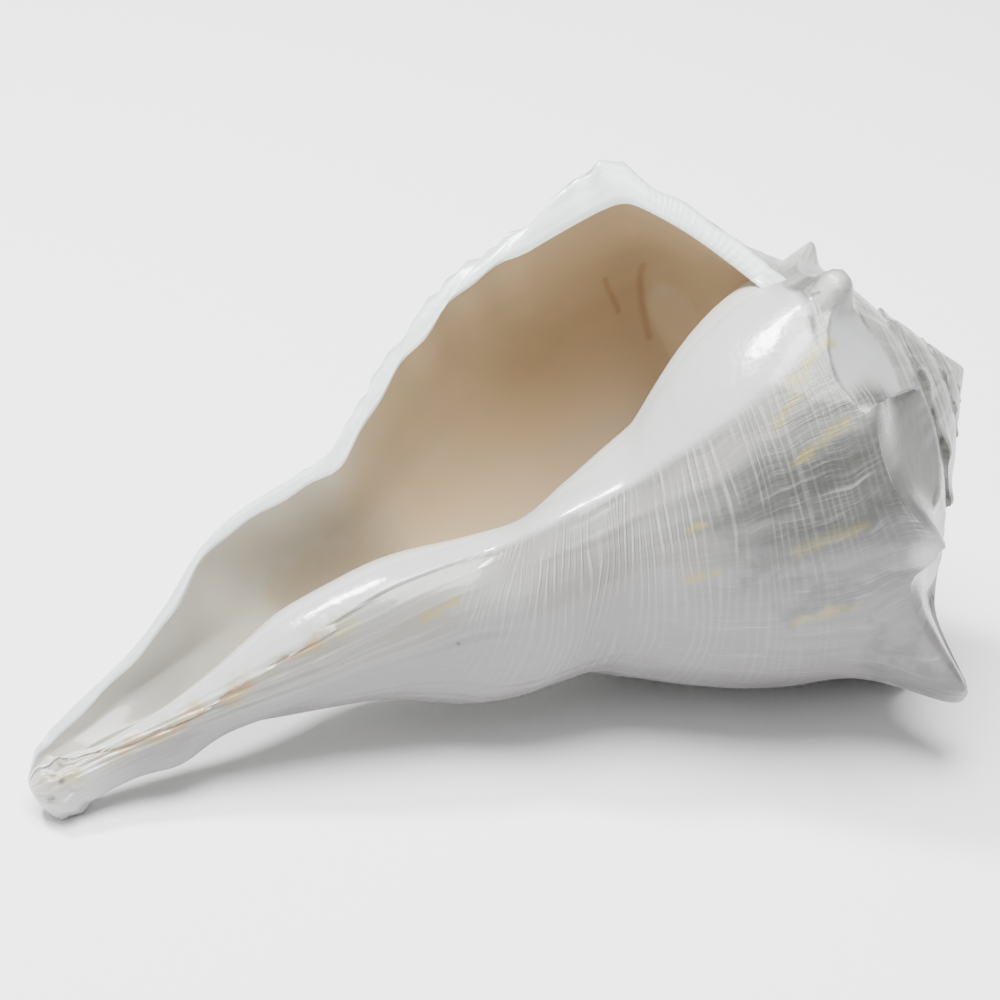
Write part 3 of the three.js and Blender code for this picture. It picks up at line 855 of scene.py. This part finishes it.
def between(tree, value, low, high, top=1.0):
    """0 up to low, rising smoothly to top at high."""
    inputs = {"Value": value, "From Min": low, "From Max": high, "To Max": top}
    return node(tree, "MapRange", inputs, interpolation_type="SMOOTHSTEP").outputs["Result"]


def noise(tree, vector, scale=1.0, detail=3.0, rough=0.55):
    """A soft uneven pattern, from about 0.3 to 0.7."""
    inputs = {"Vector": vector, "Scale": scale, "Detail": detail, "Roughness": rough}
    return node(tree, "TexNoise", inputs).outputs["Fac"]


def stretched(tree, vector, x, y, z=0.0):
    """Coordinates scaled differently each way, so that a pattern on them is stretched."""
    inputs = {0: vector, 1: (x, y, z)}
    return node(tree, "VectorMath", inputs, operation="MULTIPLY").outputs["Vector"]


def mix(tree, share, first, second):
    """A colour between two colours."""
    made = node(tree, "Mix", data_type="RGBA")
    for k, value in ((0, share), (6, first), (7, second)):
        fill(tree, made.inputs[k], (*value, 1) if isinstance(value, tuple) else value)
    return made.outputs[2]


def new_group(name, inputs, outputs):
    """An empty node group. Sockets are given as name to (kind, default)."""
    tree = bpy.data.node_groups.new(name, "ShaderNodeTree")
    for side, sockets in (("INPUT", inputs), ("OUTPUT", outputs)):
        for socket_name, (kind, default) in sockets.items():
            socket = tree.interface.new_socket(socket_name, in_out=side, socket_type="NodeSocket" + kind)
            if default is not None:
                socket.default_value = default
    return tree, tree.nodes.new("NodeGroupInput").outputs, tree.nodes.new("NodeGroupOutput").inputs


def use(tree, group, **inputs):
    """Places a node group and fills its inputs. Its outputs."""
    return node(tree, "Group", inputs, node_tree=group).outputs


def growth_streaks():
    """Bands and fine lines that follow the growing edge. Growth is (degrees, full-size depth, depth)."""
    tree, given, result = new_group(
        "growth streaks", {"Growth": ("Vector", None), "Fineness": ("Float", 1.0)},
        {"Bands": ("Float", None), "Lines": ("Float", None)})
    wander = noise(tree, stretched(tree, given["Growth"], 0.02, 0.03), detail=2.0)
    parts = node(tree, "SeparateXYZ", {0: given["Growth"]}).outputs
    around = product(tree, calc(tree, "MULTIPLY_ADD", wander, 12.0, parts[0]), given["Fineness"])
    along = node(tree, "CombineXYZ", {0: around, 1: parts[1], 2: 0.0}).outputs[0]
    bands = noise(tree, stretched(tree, along, 0.09, 0.012, 1.0))
    tree.links.new(bands, result["Bands"])
    lines = noise(tree, stretched(tree, along, 0.55, 0.02, 1.0), detail=4.0, rough=0.7)
    tree.links.new(lines, result["Lines"])
    return tree


def spiral_ribs():
    """Low ribs that run round the shell, uneven in height."""
    tree, given, result = new_group(
        "spiral ribs", {"Growth": ("Vector", None), "Spacing": ("Float", 2.6)}, {"Height": ("Float", None)})
    parts = node(tree, "SeparateXYZ", {0: given["Growth"]}).outputs
    drift = noise(tree, stretched(tree, given["Growth"], 0.015, 0.08), detail=1.0)
    phase = calc(tree, "MULTIPLY_ADD", drift, 3.0, calc(tree, "DIVIDE", parts[1], given["Spacing"]))
    wave = calc(tree, "SINE", product(tree, phase, 2 * math.pi))
    wave = calc(tree, "MULTIPLY_ADD", wave, 0.5, 0.5)
    patches = noise(tree, stretched(tree, given["Growth"], 0.03, 0.12), detail=2.0)
    sharp = between(tree, wave, 0.35, 1.0)
    tree.links.new(product(tree, sharp, between(tree, patches, 0.3, 0.7)), result["Height"])
    return tree


def stroke():
    """A soft mark along the straight line from one place to another, with an uneven edge."""
    tree, given, result = new_group(
        "stroke",
        {"Position": ("Vector", None), "From": ("Vector", None), "To": ("Vector", None),
         "Width": ("Float", 0.002), "Uneven": ("Float", 0.001)}, {"Mask": ("Float", None)})
    blots = {"Vector": given["Position"], "Scale": 190.0, "Detail": 4.0}
    blot = node(tree, "TexNoise", blots).outputs["Color"]
    centred = node(tree, "VectorMath", {0: blot, 1: (0.5, 0.5, 0.5)}, operation="SUBTRACT").outputs[0]
    moved = node(tree, "VectorMath", {0: centred, "Scale": given["Uneven"]}, operation="SCALE").outputs[0]
    place_here = node(tree, "VectorMath", {0: given["Position"], 1: moved}, operation="ADD").outputs[0]
    away = node(tree, "VectorMath", {0: place_here, 1: given["From"]}, operation="SUBTRACT").outputs[0]
    whole = node(tree, "VectorMath", {0: given["To"], 1: given["From"]}, operation="SUBTRACT").outputs[0]
    covered = node(tree, "VectorMath", {0: away, 1: whole}, operation="DOT_PRODUCT").outputs["Value"]
    length = node(tree, "VectorMath", {0: whole, 1: whole}, operation="DOT_PRODUCT").outputs["Value"]
    share = node(tree, "Clamp", {0: calc(tree, "DIVIDE", covered, length)}).outputs[0]
    nearest = node(tree, "VectorMath", {0: whole, "Scale": share}, operation="SCALE").outputs[0]
    distance = node(tree, "VectorMath", {0: away, 1: nearest}, operation="DISTANCE").outputs["Value"]
    tree.links.new(between(tree, calc(tree, "DIVIDE", distance, given["Width"]), 1.0, 0.1), result["Mask"])
    return tree


def shell_grain():
    """A fine unevenness of polished shell: its height, and a paler and darker mottle."""
    tree, given, result = new_group(
        "shell grain", {"Position": ("Vector", None)}, {"Height": ("Float", None), "Mottle": ("Float", None)})
    tree.links.new(noise(tree, given["Position"], 420.0, 3.0), result["Height"])
    tree.links.new(noise(tree, given["Position"], 55.0, 4.0), result["Mottle"])
    return tree


STREAKS, RIBS, STROKE, GRAIN = growth_streaks(), spiral_ribs(), stroke(), shell_grain()


def spot(angle, depth):
    """Where a place lies in the finished mesh. Angles over INSIDE_FROM are on the mouth's inner wall."""
    inside = angle > INSIDE_FROM
    grown, swung, ids = (chamber, chamber_swung, chamber_ids) if inside else (outer, outer_swung, outer_ids)
    miss = np.abs(swung - angle) * DEGREE_WEIGHT + np.abs(-grown[..., 2] - depth)
    return tuple(laid[ids[np.unravel_index(miss.argmin(), miss.shape)]])


def start_material(name):
    """A polished material on the mesh: its tree, its shader, and what its nodes read of the shell."""
    material = bpy.data.materials.new(name)
    material.use_nodes = True
    tree = material.node_tree
    shader = tree.nodes["Principled BSDF"]
    for socket, value in POLISH.items():
        shader.inputs[socket].default_value = value
    growth = node(tree, "Attribute", attribute_name="growth").outputs["Vector"]
    marks = node(tree, "Attribute", attribute_name="marks").outputs["Vector"]
    marks = node(tree, "SeparateXYZ", {0: marks}).outputs
    position = node(tree, "TexCoord").outputs["Object"]
    mesh.materials.append(material)
    return tree, shader, growth, marks, position


def finish_material(tree, shader, colour, roughness, height, distance):
    bump = node(tree, "Bump", {"Height": height, "Distance": distance, "Strength": 1.0})
    for name, value in (("Base Color", colour), ("Roughness", roughness), ("Normal", bump.outputs["Normal"])):
        tree.links.new(value, shader.inputs[name])


def strokes(tree, position, colour, kinds):
    """Lays strokes over a colour, one kind after the other."""
    for lines, tint, strength, uneven in kinds:
        covered = 0.0
        for first, last, width in lines:
            mask = use(tree, STROKE, Position=position, From=spot(*first), To=spot(*last),
                       Width=width / 1000, Uneven=uneven * width / 1000)["Mask"]
            covered = calc(tree, "MAXIMUM", covered, mask)
        colour = mix(tree, product(tree, covered, strength), colour, tint)
    return colour


def body_tints(tree, angle, full_depth, streaks, grain, bare):
    """The greys of the body, and a violet-grey painted shade over its lower side. bare is where it is neither
    worn flat nor covered.
    """
    colour = mix(tree, between(tree, grain["Mottle"], *MOTTLED), CREAM, WHITE)
    upper = between(tree, full_depth, *UPPER_BODY)
    banded = product(tree, between(tree, streaks["Bands"], *GREY_BANDS), upper, bare)
    colour = mix(tree, banded, colour, GREY)
    dark = product(tree, between(tree, angle, *DARK_STARTS), between(tree, angle, *DARK_ENDS),
                   between(tree, full_depth, *DARK_DOWN), between(tree, streaks["Bands"], *DARK_BANDS), bare)
    colour = mix(tree, dark, colour, GREY)
    # The lower side turned violet-grey: painted shade.
    low = product(tree, between(tree, angle, *VIOLET_SHADE_STARTS), between(tree, angle, *VIOLET_SHADE_ENDS))
    return mix(tree, product(tree, low, bare), colour, VIOLET_SHADE), upper, low


def line_tints(tree, colour, full_depth, streaks, upper, bare):
    """Fine lines: along the growing edge on the body, and round the shell on its ramp."""
    ramp = between(tree, full_depth, *ON_RAMP)
    lines = product(tree, between(tree, streaks["Lines"], *DARK_LINES), upper,
                    calc(tree, "MULTIPLY_ADD", ramp, *LINES_ON_RAMP), bare)
    colour = mix(tree, lines, colour, PALE_GREY)
    pale = product(tree, between(tree, streaks["Lines"], *PALE_LINES), upper)
    return mix(tree, pale, colour, BRIGHT), ramp


def outside_material():
    tree, shader, growth, marks, position = start_material("outside")
    flat, callus = marks[0], marks[1]
    angle, full_depth, depth = node(tree, "SeparateXYZ", {0: growth}).outputs
    streaks = use(tree, STREAKS, Growth=growth)
    ribs = use(tree, RIBS, Growth=growth)["Height"]
    grain = use(tree, GRAIN, Position=position)
    smooth = calc(tree, "MAXIMUM", flat, callus)
    bare = calc(tree, "SUBTRACT", 1.0, smooth)

    colour, upper, low = body_tints(tree, angle, full_depth, streaks, grain, bare)
    colour, ramp = line_tints(tree, colour, full_depth, streaks, upper, bare)
    stronger = calc(tree, "MULTIPLY_ADD", between(tree, full_depth, *RIBS_GROW), *RIB_STRENGTH)
    # The ribs fade where the lower side has its painted violet shade.
    ribs = product(tree, ribs, product(tree, between(tree, full_depth, *RIBS_END), bare, stronger,
                                       calc(tree, "SUBTRACT", 1.0, low)))
    colour = mix(tree, ribs, colour, BRIGHT)
    colour = mix(tree, product(tree, ramp, RAMP_PALER), colour, BRIGHT)
    spiral = noise(tree, stretched(tree, growth, 0.012, 0.42), detail=4.0, rough=0.65)
    spiral = product(tree, between(tree, spiral, *RAMP_LINES), product(tree, ramp, bare))
    colour = mix(tree, spiral, colour, GREY)
    # Flats nearer the lip than about -300 degrees darkened: painted shade.
    flat_grey_and_shade = mix(tree, between(tree, angle, *FLAT_SHADE_ANGLES), FLAT_GREY, FLAT_SHADE)
    colour = mix(tree, product(tree, flat, COVERING), colour, flat_grey_and_shade)
    colour = mix(tree, product(tree, callus, COVERING), colour, CALLUS_WHITE)
    colour = mix(tree, between(tree, depth, *PALE_TIP), colour, BRIGHT)
    rim = product(tree, callus, calc(tree, "SUBTRACT", 1.0, callus))
    rim = product(tree, between(tree, rim, *CALLUS_RIM), between(tree, depth, *RIM_BEGINS))
    colour = mix(tree, rim, colour, BRIGHT)
    colour = strokes(tree, position, colour, OUTSIDE_STROKES)

    roughness = calc(tree, "MULTIPLY_ADD", smooth, *OUTSIDE_ROUGHNESS)
    roughness = calc(tree, "MULTIPLY_ADD", streaks["Lines"], LINES_ROUGHER, roughness)
    lined = product(tree, streaks["Lines"], calc(tree, "MULTIPLY_ADD", upper, *LINES_RAISED))
    raised = calc(tree, "MULTIPLY_ADD", ribs, RIBS_RAISED, lined)
    height = calc(tree, "MULTIPLY_ADD", grain["Height"], GRAIN_RAISED, product(tree, raised, bare))
    uneven = product(tree, grain["Mottle"], callus)
    height = calc(tree, "MULTIPLY_ADD", uneven, CALLUS_RAISED, height)
    finish_material(tree, shader, colour, roughness, height, BODY_RELIEF)


def inside_material():
    tree, shader, growth, _, position = start_material("inside")
    angle, _, depth = node(tree, "SeparateXYZ", {0: growth}).outputs
    streaks = use(tree, STREAKS, Growth=growth, Fineness=0.7)
    grain = use(tree, GRAIN, Position=position)
    colour = mix(tree, between(tree, streaks["Bands"], *TAN_BANDS), TAN, PINK_TAN)
    # Paler deeper in: painted light over the chamber's shade.
    colour = mix(tree, between(tree, angle, *DEEPER_IN), colour, DEEP_TAN_PAINTED_LIGHT)
    # Darker ochre where the top light falls into the mouth: painted shade.
    belly = product(tree, between(tree, depth, *SHADED_BELLY_DOWN), between(tree, angle, *SHADED_BELLY_IN))
    colour = mix(tree, belly, colour, OCHRE_SHADE)
    colour = mix(tree, between(tree, depth, *CANAL_BEGINS), colour, CANAL_GREY)
    colour = mix(tree, between(tree, depth, *CANAL_PALER), colour, CANAL_CREAM)
    colour = mix(tree, between(tree, angle, *NEAR_LIP), colour, CALLUS_WHITE)
    columella = product(tree, between(tree, angle, *COLUMELLA_OUTER), between(tree, angle, *UNDER_LIP))
    colour = mix(tree, columella, colour, CALLUS_WHITE)
    roughness = calc(tree, "MULTIPLY_ADD", grain["Mottle"], *INSIDE_ROUGHNESS)
    colour = strokes(tree, position, colour, INSIDE_STROKES)
    tree.links.new(colour, shader.inputs["Base Color"])
    tree.links.new(roughness, shader.inputs["Roughness"])


def lip_material():
    tree, shader, growth, marks, position = start_material("ground lip")
    depth = node(tree, "SeparateXYZ", {0: growth}).outputs[2]
    grain = use(tree, GRAIN, Position=position)
    across, down = product(tree, marks[0], LAYERS_ACROSS), product(tree, depth, LAYERS_DOWN)
    layers = noise(tree, node(tree, "CombineXYZ", {0: across, 1: down, 2: 0.0}).outputs[0])
    uneven = product(tree, grain["Mottle"], CUTS_UNEVEN)
    cuts = calc(tree, "SINE", calc(tree, "MULTIPLY_ADD", depth, CUTS_DOWN, uneven))
    colour = mix(tree, between(tree, layers, *LIP_LAYERS), LIP_PALE, LIP_BLUE)
    upper = between(tree, depth, *LIP_UPPER)
    colour = mix(tree, product(tree, upper, between(tree, cuts, *LIP_CUTS)), colour, PALE_GREY)
    height = calc(tree, "MULTIPLY_ADD", product(tree, upper, cuts), CUTS_RAISED, grain["Height"])
    roughness = calc(tree, "MULTIPLY_ADD", grain["Mottle"], *LIP_ROUGHNESS)
    finish_material(tree, shader, colour, roughness, height, LIP_RELIEF)


outside_material()
inside_material()
lip_material()

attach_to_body(shell, "root")
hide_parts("shell")

# ---------------------------------------------------------------- floor, light and camera
CAMERA_AZIMUTH = -18.04
CAMERA_ELEVATION = 29.97
CAMERA_ROLL = -0.55
CAMERA_DISTANCE = 0.669
CAMERA_LENS = 116.5
CAMERA_SENSOR = 36
CAMERA_REACH = 20
FLOOR_SIZE = 8
FLOOR_WHITE = (0.93, 0.93, 0.93, 1)
FLOOR_ROUGHNESS = 0.9
SKY_STRENGTH = 0.36
# The lights: width, power, azimuth, elevation, distance.
LIGHTS = {"key": (0.22, 20, -145, 58, 1.1), "top": (0.8, 34, -20, 84, 1.1), "fill": (0.9, 5, -75, 30, 1.3)}
AIM = Vector((0.002, 0, 0.049))


def facing(centre, azimuth_angle, elevation, distance):
    """A placement at a distance from a centre, facing it. Azimuth 0 is the front, -Y."""
    a, e = math.radians(azimuth_angle), math.radians(elevation)
    back = Vector((math.sin(a) * math.cos(e), -math.cos(a) * math.cos(e), math.sin(e)))
    turn = back.to_track_quat("Z", "Y").to_matrix().to_4x4()
    return Matrix.Translation(centre + back * distance) @ turn


def make_camera():
    camera = bpy.data.objects.new("camera", bpy.data.cameras.new("camera"))
    bpy.context.scene.collection.objects.link(camera)
    camera.data.lens = CAMERA_LENS
    camera.data.sensor_width = CAMERA_SENSOR
    camera.data.clip_end = CAMERA_REACH
    level = facing(AIM, CAMERA_AZIMUTH, CAMERA_ELEVATION, CAMERA_DISTANCE)
    camera.matrix_world = level @ Matrix.Rotation(math.radians(CAMERA_ROLL), 4, "Z")
    bpy.context.scene.camera = camera


def make_floor():
    bpy.ops.mesh.primitive_plane_add(size=FLOOR_SIZE, location=(0, 0, 0))
    floor = bpy.context.object
    floor.name = "floor"
    paper = bpy.data.materials.new("white paper")
    paper.use_nodes = True
    shader = paper.node_tree.nodes["Principled BSDF"]
    shader.inputs["Base Color"].default_value = FLOOR_WHITE
    shader.inputs["Roughness"].default_value = FLOOR_ROUGHNESS
    floor.data.materials.append(paper)


def soft_light(name, width, power, *seen_from):
    light = bpy.data.objects.new(name, bpy.data.lights.new(name, "AREA"))
    light.data.shape = "DISK"
    light.data.size = width
    light.data.energy = power
    bpy.context.scene.collection.objects.link(light)
    light.matrix_world = facing(Vector(), *seen_from)


make_camera()
make_floor()
for name, settings in LIGHTS.items():
    soft_light(name, *settings)
world = bpy.data.worlds.new("studio")
world.use_nodes = True
sky = world.node_tree.nodes["Background"].inputs
sky["Color"].default_value = (1, 1, 1, 1)
sky["Strength"].default_value = SKY_STRENGTH
bpy.context.scene.world = world
